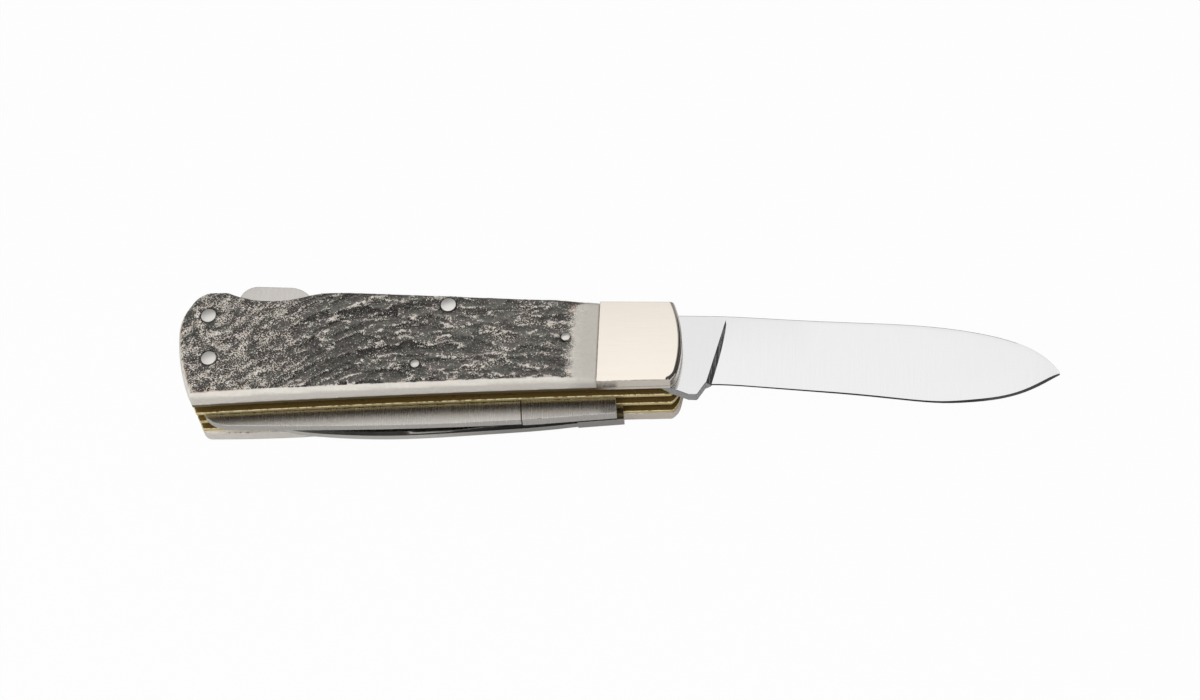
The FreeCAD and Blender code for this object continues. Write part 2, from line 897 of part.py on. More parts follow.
def make_saw():
    """Saw, modelled open and then turned into the handle."""
    level = saw_slot_level + sizes["side_clearance"]
    body = new_body("saw_blade")
    reach = sizes["saw_reach"]
    height = sizes["saw_back_height"]
    depth = sizes["saw_tooth_depth"]

    def back_of_saw(name):
        along, up = saw_back_shares[name]
        return (reach * along, height * up)

    tooth_line = -depth
    path = tang_path(sizes["saw_shoulder_reach"], height, sizes["saw_fold_angle"],
                     (reach * saw_tooth_line_share, tooth_line))
    path += [
        (reach * saw_nose_share, tooth_line),
        (reach, depth * saw_tip_share),
        Through(back_of_saw("nose")),
        back_of_saw("nose_top"),
        Through(back_of_saw("middle")),
        back_of_saw("bend"),
    ]
    pad(body, outline(body, "Saw", level, path), blade_thickness)
    # Both faces are ground thinner towards the back, from a line in front of the tang.
    low = height * saw_relief_start_share
    relief = sizes["saw_back_relief"]
    for face, outward in ((level, -1), (level + blade_thickness, 1)):
        wedge = [
            (low, face),
            (height, face - relief * outward),
            (height + overrun, face - relief * outward),
            (height + overrun, face + overrun * outward),
            (low, face + overrun * outward),
        ]
        sketch = outline(body, "Relief", sizes["saw_ground_start"], wedge, "YZ_Plane")
        feature = body.newObject("PartDesign::Pocket", "Relief")
        feature.Profile = sketch
        feature.Reversed = True
        feature.setExpression("Length", reach.text)
    gullet = [
        (sizes["tooth_start"], tooth_line - overrun),
        (sizes["tooth_start"], tooth_line),
        (sizes["tooth_start"] + sizes["tooth_pitch"] / 2, tooth_line + sizes["tooth_height"]),
        (sizes["tooth_start"] + sizes["tooth_pitch"], tooth_line),
        (sizes["tooth_start"] + sizes["tooth_pitch"], tooth_line - overrun),
    ]
    tooth_cut = cut(body, outline(body, "Gullet", level, gullet), all_layers)
    doc.recompute()
    teeth = body.newObject("PartDesign::LinearPattern", "Teeth")
    teeth.Originals = [tooth_cut]
    along = next(item for item in body.Origin.OriginFeatures if item.Role == "X_Axis")
    teeth.Direction = (along, [""])
    teeth.setExpression("Occurrences", "Sizes.tooth_count")
    teeth.setExpression("Length", (sizes["tooth_pitch"] * (sizes["tooth_count"] - 1)).text)
    body.Tip = teeth
    drill(body, level, [(pivot, turning_hole)])
    body.setExpression("Placement.Rotation.Angle", (-sizes["saw_fold_angle"]).text)


def make_gutting_blade():
    """Gutting blade with a rounded back and a blunt tip, modelled open and turned into the handle."""
    level = gutting_slot_level + sizes["side_clearance"]
    body = new_body("gutting_blade")
    reach = sizes["gutting_reach"]
    height = sizes["gutting_back_height"]
    edge_depth = sizes["gutting_edge_depth"]
    ricasso = reach * gutting_ricasso_share
    path = tang_path(sizes["gutting_shoulder_reach"], height * gutting_section_shares[0][1],
                     sizes["gutting_fold_angle"], (ricasso, -(edge_depth * gutting_section_shares[0][2])))
    path.append((ricasso, height * gutting_section_shares[0][1]))
    pad(body, outline(body, "Tang", level, path), blade_thickness)

    def place_section(section):
        reach_share, back_share, edge_share, thickness_share = section
        top = height * back_share
        edge = -(edge_depth * edge_share)
        tall = top - edge
        half = blade_thickness * thickness_share / 2
        return reach * reach_share, [
            (top, sizes["gutting_back_flat"] * thickness_share / 2),
            (top - tall * gutting_shoulder_share, half),
            (top - tall * gutting_grind_share, half),
            (edge + tall * gutting_bevel_share, sizes["bevel_thickness"] * thickness_share / 2),
            (edge, sizes["edge_thickness"] / 2),
        ]

    loft(body, gutting_section_shares, level + blade_thickness / 2, place_section)
    drill(body, level, [(pivot, turning_hole)])
    body.setExpression("Placement.Rotation.Angle", (-sizes["gutting_fold_angle"]).text)


def dome_drop(radius, dome, width):
    """How far a spherical dome has dropped at that distance from its axis."""
    sphere = (radius * radius + dome * dome) / (dome * 2)
    return sphere - root(sphere * sphere - width * width)


def make_pin(label, centre, bottom, top, radius, bottom_dome=0, top_dome=0):
    """A round pin along Z, turned from its half profile, with domed ends where asked."""
    body = new_body(label)
    width = radius * dome_width_share
    path = [(0, bottom)]
    if bottom_dome:
        path.append(Through((width, bottom + dome_drop(radius, bottom_dome, width))))
    path.append((radius, bottom + bottom_dome))
    path.append((radius, top - top_dome))
    if top_dome:
        path.append(Through((width, top - dome_drop(radius, top_dome, width))))
    path.append((0, top))
    sketch = outline(body, "Profile", 0, path, "XZ_Plane")
    feature = body.newObject("PartDesign::Revolution", "Turned")
    feature.Profile = sketch
    feature.ReferenceAxis = (sketch, ["V_Axis"])
    body.setExpression("Placement.Base.x", as_size(centre[0]).text)
    body.setExpression("Placement.Base.y", as_size(centre[1]).text)


def make_pins():
    dome = sizes["pin_dome"]
    cover = sizes["pivot_cover"]
    floor_level = bolster - scale
    make_pin("pivot_pin", pivot, as_size(0) + cover, upper_level + bolster - cover, sizes["pivot_radius"])
    named_pins = {"rocker_pin": rocker_pin, "rear_back_pin": back_pin, "rear_belly_pin": belly_pin}
    for label, centre in named_pins.items():
        make_pin(label, centre, floor_level, top_level, sizes["pin_radius"], dome, dome)
    for place_name, centre in (("front", front_scale_pin), ("rear", rear_scale_pin)):
        radius = sizes["scale_pin_radius"]
        make_pin(f"upper_scale_{place_name}_pin", centre, upper_liner_level, top_level, radius, top_dome=dome)
        make_pin(f"lower_scale_{place_name}_pin", centre, floor_level, lower_liner_level + liner, radius, dome)


def check_and_export():
    """Stop on any failed feature, then write each piece."""
    doc.recompute()
    for item in doc.Objects:
        if "Invalid" in item.State or "Error" in item.State:
            raise RuntimeError(f"{item.Label} failed: {item.State}")
    for body in parts:
        shape = body.Shape
        if shape.isNull() or not shape.isValid() or len(shape.Solids) != 1:
            raise RuntimeError(f"{body.Label} is not one valid solid")
    os.makedirs("parts", exist_ok=True)
    for body in parts:
        body.Shape.exportStep(f"parts/{body.Label}.step")
        box = body.Shape.BoundBox
        print(f"{body.Label}: {body.Shape.Volume:.1f} mm3, {box.XLength:.2f} x {box.YLength:.2f} x {box.ZLength:.2f}")


make_scale("lower_scale", lower_liner_level, -1, swollen=True)
make_scale("upper_scale", upper_level, 1, swollen=False)
make_bolster("lower_bolster", lower_liner_level, -1, sizes["lower_bolster_round"])
make_bolster("upper_bolster", upper_level, 1, sizes["upper_bolster_round"])
make_liner("lower_liner", lower_liner_level, scale_pins)
make_liner("gutting_saw_liner", gutting_liner_level, [])
make_liner("saw_main_liner", saw_liner_level, [])
make_liner("upper_liner", upper_liner_level, scale_pins)
make_back_spring("gutting_spring", gutting_slot_level, sizes["gutting_shoulder_reach"])
make_back_spring("saw_spring", saw_slot_level, sizes["saw_shoulder_reach"])
make_lock_spacer()
make_lock_bar()
make_lock_spring()
make_main_blade()
make_saw()
make_gutting_blade()
make_pins()
check_and_export()
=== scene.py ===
import json
import math

import bmesh
import bpy
from mathutils import Matrix, Vector, kdtree, noise


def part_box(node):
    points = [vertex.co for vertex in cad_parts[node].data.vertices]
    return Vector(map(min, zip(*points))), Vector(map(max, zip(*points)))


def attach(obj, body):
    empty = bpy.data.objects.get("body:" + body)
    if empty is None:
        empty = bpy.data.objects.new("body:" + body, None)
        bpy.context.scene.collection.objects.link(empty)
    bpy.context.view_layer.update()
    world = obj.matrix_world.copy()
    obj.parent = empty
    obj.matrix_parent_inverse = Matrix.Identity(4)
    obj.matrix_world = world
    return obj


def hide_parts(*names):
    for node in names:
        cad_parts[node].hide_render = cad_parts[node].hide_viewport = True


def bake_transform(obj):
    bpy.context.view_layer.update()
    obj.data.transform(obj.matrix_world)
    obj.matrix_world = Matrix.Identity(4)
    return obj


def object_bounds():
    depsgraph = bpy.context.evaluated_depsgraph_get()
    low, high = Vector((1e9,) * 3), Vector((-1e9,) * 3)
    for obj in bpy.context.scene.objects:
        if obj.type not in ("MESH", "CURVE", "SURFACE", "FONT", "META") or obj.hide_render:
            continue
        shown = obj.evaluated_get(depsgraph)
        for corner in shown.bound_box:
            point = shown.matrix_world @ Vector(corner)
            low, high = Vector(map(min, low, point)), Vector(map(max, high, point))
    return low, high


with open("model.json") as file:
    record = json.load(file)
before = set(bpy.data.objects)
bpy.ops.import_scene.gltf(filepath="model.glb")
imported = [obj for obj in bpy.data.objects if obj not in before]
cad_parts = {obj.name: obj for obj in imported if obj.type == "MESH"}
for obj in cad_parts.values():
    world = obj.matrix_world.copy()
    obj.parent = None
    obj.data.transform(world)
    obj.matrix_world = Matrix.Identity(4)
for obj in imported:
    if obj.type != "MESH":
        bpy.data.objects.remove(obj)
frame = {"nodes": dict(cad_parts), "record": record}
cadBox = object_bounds()
scene = bpy.context.scene
scene.view_settings.view_transform = "Standard"
mm = 0.001
record = frame["record"]
bodyOf = {node: body for body, nodes in record["behaviour"]["bodies"].items() for node in nodes}
slotOf = {part["node"]: part["material_slot"] for part in record["subparts"]}
print("frame loaded:", len(frame["nodes"]), "nodes")

cameraSetup = {
    "place": (34.9, -252.5, 456.6),  # millimetres
    "right": (0.9964, 0.0424, -0.0738),
    "back": (0.0851, -0.4966, 0.8638),
    "lens": 70.2,
    "sensor": 36.0,
    "clipStart": 10.0,
}


def makeCamera(setup):
    data = bpy.data.cameras.new("viewCamera")
    data.lens = setup["lens"]
    data.sensor_width = setup["sensor"]
    data.sensor_fit = "HORIZONTAL"
    data.clip_start = setup["clipStart"] * mm
    camera = bpy.data.objects.new("viewCamera", data)
    scene.collection.objects.link(camera)
    back = Vector(setup["back"]).normalized()
    right = Vector(setup["right"])
    right = (right - back * right.dot(back)).normalized()
    turn = Matrix((right, back.cross(right), back)).transposed()
    camera.matrix_world = Matrix.Translation(Vector(setup["place"]) * mm) @ turn.to_4x4()
    scene.camera = camera


# materials: a tree with its Principled shader, and short ways to add nodes and links
def newFinish(name):
    material = bpy.data.materials.new(name)
    material.use_nodes = True
    tree = material.node_tree
    tree.nodes.clear()
    shader = tree.nodes.new("ShaderNodeBsdfPrincipled")
    output = tree.nodes.new("ShaderNodeOutputMaterial")
    tree.links.new(shader.outputs["BSDF"], output.inputs["Surface"])
    return material, tree, shader


def newGroup(name, inputs, outputs):
    group = bpy.data.node_groups.new(name, "ShaderNodeTree")
    for socket, kind in inputs.items():
        group.interface.new_socket(socket, in_out="INPUT", socket_type=kind)
    for socket, kind in outputs.items():
        group.interface.new_socket(socket, in_out="OUTPUT", socket_type=kind)
    start = group.nodes.new("NodeGroupInput")
    end = group.nodes.new("NodeGroupOutput")
    return group, start, end


def addNode(tree, kind, values=None, **settings):
    node = tree.nodes.new(kind)
    for key, value in settings.items():
        setattr(node, key, value)
    for socket, value in (values or {}).items():
        node.inputs[socket].default_value = value
    return node


def link(tree, source, target):
    tree.links.new(source, target)


def addMath(tree, operation, first, second=None, third=None, clamp=False):
    node = addNode(tree, "ShaderNodeMath", operation=operation, use_clamp=clamp)
    for index, value in enumerate((first, second, third)):
        if value is None:
            continue
        if isinstance(value, (int, float)):
            node.inputs[index].default_value = value
        else:
            link(tree, value, node.inputs[index])
    return node.outputs["Value"]


def addRange(tree, value, fromLow, fromHigh, toLow=0.0, toHigh=1.0, smooth=True):
    kind = "SMOOTHSTEP" if smooth else "LINEAR"
    node = addNode(tree, "ShaderNodeMapRange", interpolation_type=kind)
    link(tree, value, node.inputs["Value"])
    for socket, number in (("From Min", fromLow), ("From Max", fromHigh), ("To Min", toLow), ("To Max", toHigh)):
        if isinstance(number, (int, float)):
            node.inputs[socket].default_value = number
        else:
            link(tree, number, node.inputs[socket])
    return node.outputs["Result"]


def addMix(tree, factor, first, second):
    node = addNode(tree, "ShaderNodeMix", data_type="RGBA")
    for socket, value in ((node.inputs[0], factor), (node.inputs[6], first), (node.inputs[7], second)):
        if isinstance(value, (int, float)):
            socket.default_value = value
        elif isinstance(value, tuple):
            socket.default_value = (*value, 1.0)
        else:
            link(tree, value, socket)
    return node.outputs[2]


def addNoise(tree, vector, scale, detail=2.0, roughness=0.5):
    node = addNode(tree, "ShaderNodeTexNoise", {"Scale": scale, "Detail": detail, "Roughness": roughness})
    link(tree, vector, node.inputs["Vector"])
    return node.outputs["Fac"]


def objectPlace(tree, stretch=(1.0, 1.0, 1.0), turn=0.0):
    place = addNode(tree, "ShaderNodeTexCoord")
    mapping = addNode(tree, "ShaderNodeMapping", {"Scale": stretch, "Rotation": (0.0, 0.0, math.radians(turn))})
    link(tree, place.outputs["Object"], mapping.inputs["Vector"])
    return mapping.outputs["Vector"]


def objectAxis(tree, axis):
    split = addNode(tree, "ShaderNodeSeparateXYZ")
    link(tree, addNode(tree, "ShaderNodeTexCoord").outputs["Object"], split.inputs["Vector"])
    return split.outputs[axis]


def useGroup(tree, group, values):
    node = addNode(tree, "ShaderNodeGroup", node_tree=group)
    for socket, value in values.items():
        if isinstance(value, (int, float, tuple)):
            node.inputs[socket].default_value = value
        else:
            link(tree, value, node.inputs[socket])
    return node.outputs


# noise is given by its scale, detail and roughness
lineSetup = {"coarse": (1.0, 1.0), "fine": (3.1, 2.0, 0.65), "coarseShare": 0.4, "fineShare": 0.6}
handlingSetup = {"noise": (90.0, 4.0, 0.6), "reach": (0.42, 0.7)}
wearAndShadeSetup = {"noise": (900.0, 3.0, 0.6), "reach": (0.3, 0.6)}


# ground lines: streaks along the tool's path, for roughness, shade and height
def makeGroundLines(setup):
    group, start, end = newGroup(
        "groundLines",
        {"Vector": "NodeSocketVector", "Roughness": "NodeSocketFloat", "Spread": "NodeSocketFloat"},
        {"Roughness": "NodeSocketFloat", "Streak": "NodeSocketFloat"},
    )
    coarse = addNoise(group, start.outputs["Vector"], *setup["coarse"])
    fine = addNoise(group, start.outputs["Vector"], *setup["fine"])
    coarse = addMath(group, "MULTIPLY", coarse, setup["coarseShare"])
    streak = addMath(group, "MULTIPLY_ADD", fine, setup["fineShare"], coarse)
    centred = addMath(group, "SUBTRACT", streak, 0.5)
    rough = addMath(group, "MULTIPLY_ADD", centred, start.outputs["Spread"], start.outputs["Roughness"])
    link(group, rough, end.inputs["Roughness"])
    link(group, streak, end.inputs["Streak"])
    return group


# handling: broad faint marks where fingers and cloths have been
def makeHandling(setup):
    group, start, end = newGroup(
        "handling",
        {"Vector": "NodeSocketVector", "Roughness": "NodeSocketFloat", "Amount": "NodeSocketFloat"},
        {"Roughness": "NodeSocketFloat"},
    )
    broad = addNoise(group, start.outputs["Vector"], *setup["noise"])
    mask = addRange(group, broad, *setup["reach"])
    rough = addMath(group, "MULTIPLY_ADD", mask, start.outputs["Amount"], start.outputs["Roughness"])
    link(group, rough, end.inputs["Roughness"])
    return group


# edge wear and painted edge shade: another colour on the softened edges, broken up by fine noise; on the bolsters and
# the blade that colour is dark, a painted shade line along their edges, and on the brass liners it is bright, partly
# wear and partly a painted highlight
def makeEdgeWearAndShade(setup):
    group, start, end = newGroup(
        "edgeWearAndShade",
        {"Vector": "NodeSocketVector", "Edge": "NodeSocketFloat", "Color": "NodeSocketColor",
         "WearAndShade": "NodeSocketColor", "Amount": "NodeSocketFloat"},
        {"Color": "NodeSocketColor"},
    )
    broken = addRange(group, addNoise(group, start.outputs["Vector"], *setup["noise"]), *setup["reach"])
    mask = addMath(group, "MULTIPLY", addMath(group, "MULTIPLY", broken, start.outputs["Edge"]),
                   start.outputs["Amount"], clamp=True)
    link(group, addMix(group, mask, start.outputs["Color"], start.outputs["WearAndShade"]), end.inputs["Color"])
    return group


groundLines = makeGroundLines(lineSetup)
handling = makeHandling(handlingSetup)
edgeWearAndShade = makeEdgeWearAndShade(wearAndShadeSetup)

# the bolsters' softened edges take a dark colour: painted shade, for the thin dark lines along their polished edges
nickelLook = {
    "color": (0.95, 0.878, 0.78), "secondColor": (0.40, 0.38, 0.34), "wearAndShadeAmount": 0.8, "sideRough": 0.16,
    "roughness": 0.10, "lines": 0.05, "marks": 0.06, "stretch": (120.0, 2600.0, 2600.0), "turn": 8.0, "bump": 0.004,
    "crown": {"top": 8.0, "bend": 0.0035},  # the polish leaves the flat faces faintly crowned
}
# the blade's softened edges take a dark colour: painted shade, for the thin dark line along its spine and edges
bladeLook = {
    "color": (0.86, 0.86, 0.86), "secondColor": (0.36, 0.36, 0.36), "wearAndShadeAmount": 1.0, "sideShade": 0.55,
    "ramp": {"stretch": (3400.0, 260.0, 260.0), "turn": -33.0, "depth": (0.48, 0.62), "rough": 0.42},
    "roughness": 0.08, "lines": 0.04, "marks": 0.04, "stretch": (2600.0, 90.0, 90.0), "turn": 0.0, "bump": 0.003,
}
groundLook = {
    "color": (0.66, 0.635, 0.60), "secondColor": (0.84, 0.82, 0.79), "wearAndShadeAmount": 0.4,
    "roughness": 0.26, "lines": 0.11, "marks": 0.04, "stretch": (4200.0, 60.0, 60.0), "turn": -5.0, "bump": 0.02,
}
# the gutting blade's back carries a painted reflection: brighter at the rear, darker towards the front
guttingLook = {**groundLook, "roughness": 0.17, "reflectionFade": {"from": -50.0, "to": -28.0, "shades": (1.15, 0.66)}}
# the saw has a painted shadow across its face: a dark line where the ground part begins, for the shadow of the small
# step there
sawLook = {**groundLook, "stepShadow": {"along": (-996.2, -87.2, 0.0), "reach": 26.6, "width": 0.20, "shade": 0.12}}
springLook = {
    "color": (0.60, 0.585, 0.57), "secondColor": (0.85, 0.84, 0.82), "wearAndShadeAmount": 0.6,
    "roughness": 0.32, "lines": 0.16, "marks": 0.08, "stretch": (140.0, 1800.0, 1800.0), "turn": 0.0, "bump": 0.02,
}
lockLook = {
    "color": (0.86, 0.815, 0.77), "secondColor": (0.92, 0.90, 0.87), "wearAndShadeAmount": 0.6,
    "roughness": 0.24, "lines": 0.14, "marks": 0.08, "stretch": (1800.0, 140.0, 140.0), "turn": 0.0, "bump": 0.015,
}
# the liners are bright along their edges, partly wear and partly a painted highlight, and their flat sides carry
# painted shade: dark brown, for the shadow inside the slots
brassLook = {
    "color": (0.74, 0.58, 0.25), "secondColor": (1.0, 0.90, 0.54), "wearAndShadeAmount": 1.0,
    "paintedSlotShade": (0.23, 0.145, 0.042), "metallic": 0.5,
    "roughness": 0.26, "lines": 0.14, "marks": 0.12, "stretch": (90.0, 1600.0, 1600.0), "turn": 3.0, "bump": 0.02,
}
# the uppermost liner carries painted shade along its edge too: dark brown, for the shadow under the scale's rim; it
# is tinned to the bolster's colour at its front end
shadePaintedBrassLook = {
    "color": (0.19, 0.15, 0.07), "secondColor": (0.30, 0.24, 0.12), "wearAndShadeAmount": 0.5,
    "paintedSlotShade": (0.23, 0.145, 0.042), "metallic": 0.6,
    "roughness": 0.30, "lines": 0.14, "marks": 0.12, "stretch": (90.0, 1600.0, 1600.0), "turn": 3.0, "bump": 0.02,
    "tinned": {"from": -9.5, "to": -5.5, "color": (0.86, 0.81, 0.73)},
}
pinLook = {
    "color": (0.90, 0.875, 0.82), "secondColor": (0.95, 0.94, 0.92), "wearAndShadeAmount": 0.4,
    "roughness": 0.30, "lines": 0.12, "marks": 0.08, "stretch": (900.0, 900.0, 900.0), "turn": 0.0, "bump": 0.01,
}


# painted shadow: a narrow dark line across the piece, at one distance along a direction
def paintedStepShadow(tree, stepShadow):
    place = addNode(tree, "ShaderNodeTexCoord")
    along = addNode(tree, "ShaderNodeVectorMath", operation="DOT_PRODUCT")
    link(tree, place.outputs["Object"], along.inputs[0])
    along.inputs[1].default_value = stepShadow["along"]
    away = addMath(tree, "ABSOLUTE", addMath(tree, "SUBTRACT", along.outputs["Value"], stepShadow["reach"]))
    return addRange(tree, away, 0.5 * stepShadow["width"], stepShadow["width"], stepShadow["shade"], 1.0)


# rough diagonal tool marks on the ramp in front of the ricasso
def rampMarks(tree, ramp):
    face = addNode(tree, "ShaderNodeAttribute", attribute_name="ramp").outputs["Fac"]
    scored = addNoise(tree, objectPlace(tree, ramp["stretch"], ramp["turn"]), 1.0, 1.0)
    return addMath(tree, "MULTIPLY", face, addRange(tree, scored, *ramp["depth"], 0.0, ramp["rough"]))


# painted reflection: a shade that changes along the piece
def paintedReflectionFade(tree, reflectionFade):
    return addRange(tree, objectAxis(tree, "X"), reflectionFade["from"] * mm, reflectionFade["to"] * mm, *reflectionFade["shades"])


# painted shade on the flat sides (dark brown, for the shadow inside the slots), bright edges, and the tinned front
# end where there is one
def linerColor(tree, look, side):
    edgeColor = look["color"]
    if "tinned" in look:
        tinned = look["tinned"]
        ahead = addRange(tree, objectAxis(tree, "X"), tinned["from"] * mm, tinned["to"] * mm)
        edgeColor = addMix(tree, ahead, look["color"], tinned["color"])
    return addMix(tree, side, look["paintedSlotShade"], edgeColor)


# a height that falls away on both sides of a line along the piece
def crownHeight(tree, crown):
    away = addMath(tree, "SUBTRACT", objectAxis(tree, "Y"), crown["top"] * mm)
    return addMath(tree, "MULTIPLY", addMath(tree, "MULTIPLY", away, away), -0.5 * crown["bend"] / mm)


# the part of the streaks' range that shows as shade
lineRange = (0.25, 0.75)


def makeMetal(name, look):
    material, tree, shader = newFinish(name)
    shader.inputs["Metallic"].default_value = look.get("metallic", 1.0)
    plain = objectPlace(tree)
    side = addNode(tree, "ShaderNodeAttribute", attribute_name="side").outputs["Fac"]
    lines = useGroup(tree, groundLines, {
        "Vector": objectPlace(tree, look["stretch"], look["turn"]),
        "Roughness": look["roughness"], "Spread": look["lines"]})
    marks = useGroup(tree, handling, {
        "Vector": plain, "Roughness": lines["Roughness"], "Amount": look["marks"]})
    shade = addRange(tree, lines["Streak"], *lineRange, 1.0 - look["lines"], 1.0, smooth=False)
    if "stepShadow" in look:
        shade = addMath(tree, "MULTIPLY", shade, paintedStepShadow(tree, look["stepShadow"]))
    if "reflectionFade" in look:
        shade = addMath(tree, "MULTIPLY", shade, paintedReflectionFade(tree, look["reflectionFade"]))
    if "sideShade" in look:
        shade = addMath(tree, "MULTIPLY", shade, addRange(tree, side, 0.0, 1.0, 1.0, look["sideShade"]))
    streaked = addNode(tree, "ShaderNodeVectorMath", operation="SCALE")
    if "paintedSlotShade" in look:
        link(tree, linerColor(tree, look, side), streaked.inputs[0])
    else:
        streaked.inputs[0].default_value = look["color"]
    link(tree, shade, streaked.inputs["Scale"])
    edge = addNode(tree, "ShaderNodeAttribute", attribute_name="edge")
    secondColor = useGroup(tree, edgeWearAndShade, {
        "Vector": plain, "Edge": edge.outputs["Fac"], "Color": streaked.outputs[0],
        "WearAndShade": (*look["secondColor"], 1.0), "Amount": look["wearAndShadeAmount"]})
    bump = addNode(tree, "ShaderNodeBump", {"Strength": look["bump"], "Distance": mm})
    link(tree, lines["Streak"], bump.inputs["Height"])
    if "crown" in look:
        crowned = addNode(tree, "ShaderNodeBump", {"Strength": 1.0, "Distance": 1.0})
        link(tree, crownHeight(tree, look["crown"]), crowned.inputs["Height"])
        link(tree, crowned.outputs["Normal"], bump.inputs["Normal"])
    link(tree, secondColor["Color"], shader.inputs["Base Color"])
    rough = addMath(tree, "MULTIPLY_ADD", side, look.get("sideRough", 0.0), marks["Roughness"])
    if "ramp" in look:
        rough = addMath(tree, "ADD", rough, rampMarks(tree, look["ramp"]))
    link(tree, rough, shader.inputs["Roughness"])
    link(tree, bump.outputs["Normal"], shader.inputs["Normal"])
    return material


finishes = {
    "nickel_silver": makeMetal("polishedNickel", nickelLook),
    "blade_steel": makeMetal("mirrorBlade", bladeLook),
    "saw_steel": makeMetal("stepShadowSteel", sawLook),
    "gutting_steel": makeMetal("fineGroundSteel", guttingLook),
    "spring_steel": makeMetal("springSteel", springLook),
    "lock_steel": makeMetal("satinLock", lockLook),
    "brass": makeMetal("linerBrass", brassLook),
    "shade_painted_brass": makeMetal("shadePaintedBrass", shadePaintedBrassLook),
    "pin_steel": makeMetal("pinSteel", pinLook),
}
print("metal finishes:", len(finishes))


# pieces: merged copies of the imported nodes, with their sharp edges softened
# gaps and widths are in millimetres, angles in degrees
mergeGap = 0.001
# slivers to close where two of a piece's faces nearly meet
sliverGap = {"main_blade": 0.012}
edgeAngles = {"flat": 0.05, "sharp": 40.0, "side": 60.0, "sliver": 6.0}
# how far a rounded face's normal leans along the thickness
roundedLean = (0.3, 0.9)

# node: piece name, finish, width of its softened edges, and the angle that is shaded as an edge
metalPieces = {
    "upper_bolster": ("upperBolster", "nickel_silver", 0.10, 28.0),
    "lower_bolster": ("lowerBolster", "nickel_silver", 0.10, 28.0),
    "upper_liner": ("upperLiner", "shade_painted_brass", 0.07, 28.0),
    "saw_main_liner": ("sawMainLiner", "brass", 0.20, 28.0),
    "gutting_saw_liner": ("guttingSawLiner", "brass", 0.16, 28.0),
    "lower_liner": ("lowerLiner", "brass", 0.16, 28.0),
    "main_blade": ("mainBlade", "blade_steel", 0.16, 12.0),
    "saw_blade": ("sawBlade", "saw_steel", 0.14, 28.0),
    "gutting_blade": ("guttingBlade", "gutting_steel", 0.08, 28.0),
    "saw_spring": ("sawSpring", "spring_steel", 0.08, 28.0),
    "gutting_spring": ("guttingSpring", "spring_steel", 0.08, 28.0),
    "lock_spacer": ("lockSpacer", "spring_steel", 0.08, 28.0),
    "lock_spring": ("lockSpring", "spring_steel", 0.08, 28.0),
    "lock_bar": ("lockBar", "lock_steel", 0.16, 28.0),
}
# node: the body that presses it, the shares of its length between which it gives, and its cuts
bendingPieces = {"lock_spring": {"presser": "lock_bar", "from": 0.36, "to": 0.91, "cuts": 24}}
# node: how far the ramp's foot bows out from the line between its ends, its cuts, and the normals that tell
# the ramp and the ground face below it
rampShapes = {"main_blade": {"bow": 1.3, "cuts": 12, "lean": (0.4, 0.9), "ground": (0.99, -0.04)}}


def mergedMesh(node):
    bm = bmesh.new()
    bm.from_mesh(frame["nodes"][node].data)
    bmesh.ops.remove_doubles(bm, verts=bm.verts, dist=mergeGap * mm)
    return bm


def addPiece(name, bm, node, finish):
    mesh = bpy.data.meshes.new(name)
    bm.to_mesh(mesh)
    bm.free()
    mesh.materials.append(finish)
    piece = bpy.data.objects.new(name, mesh)
    scene.collection.objects.link(piece)
    if node not in bendingPieces:
        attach(piece, bodyOf[node])
    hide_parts(node)
    return piece


# joins the slivers along nearly flat edges to their neighbours
def closeSlivers(bm, gap):
    bmesh.ops.dissolve_degenerate(bm, dist=gap, edges=bm.edges)
    limit = math.radians(edgeAngles["sliver"])
    narrow = []
    for edge in bm.edges:
        slim = any(face.calc_area() < gap * edge.calc_length() for face in edge.link_faces)
        if slim and edge.calc_face_angle(math.pi) < limit:
            narrow.append(edge)
    bmesh.ops.dissolve_edges(bm, edges=narrow, use_verts=False)


def mergeFlat(bm):
    flat = math.radians(edgeAngles["flat"])
    bmesh.ops.dissolve_limit(bm, angle_limit=flat, verts=bm.verts, edges=bm.edges)


def softenEdges(bm, width, shadedAngle):
    mergeFlat(bm)
    sharp = math.radians(edgeAngles["sharp"])

    def wide(edge):
        return all(face.calc_area() / edge.calc_length() > 2 * width * mm for face in edge.link_faces)

    # leave the ends of the rounded edges as they are
    def plain(edge):
        return not any(roundedLean[0] < abs(face.normal.z) < roundedLean[1] for face in edge.link_faces)

    wearAndShadeLayer = bm.faces.layers.float.new("edge")
    upright = bm.faces.layers.float.new("side")
    chosen = [edge for edge in bm.edges if edge.calc_face_angle(0.0) > sharp and wide(edge) and plain(edge)]
    made = bmesh.ops.bevel(bm, geom=chosen, offset=width * mm, affect="EDGES", segments=3, profile=0.5,
                           material=-1, clamp_overlap=False)
    for face in made["faces"]:
        face[wearAndShadeLayer] = 1.0
    bm.normal_update()
    shaded = math.radians(shadedAngle)
    for edge in bm.edges:
        edge.smooth = edge.calc_face_angle(0.0) < shaded
    steep = math.cos(math.radians(edgeAngles["side"]))
    for face in bm.faces:
        face.smooth = True
        face[upright] = 1.0 if abs(face.normal.z) < steep else 0.0


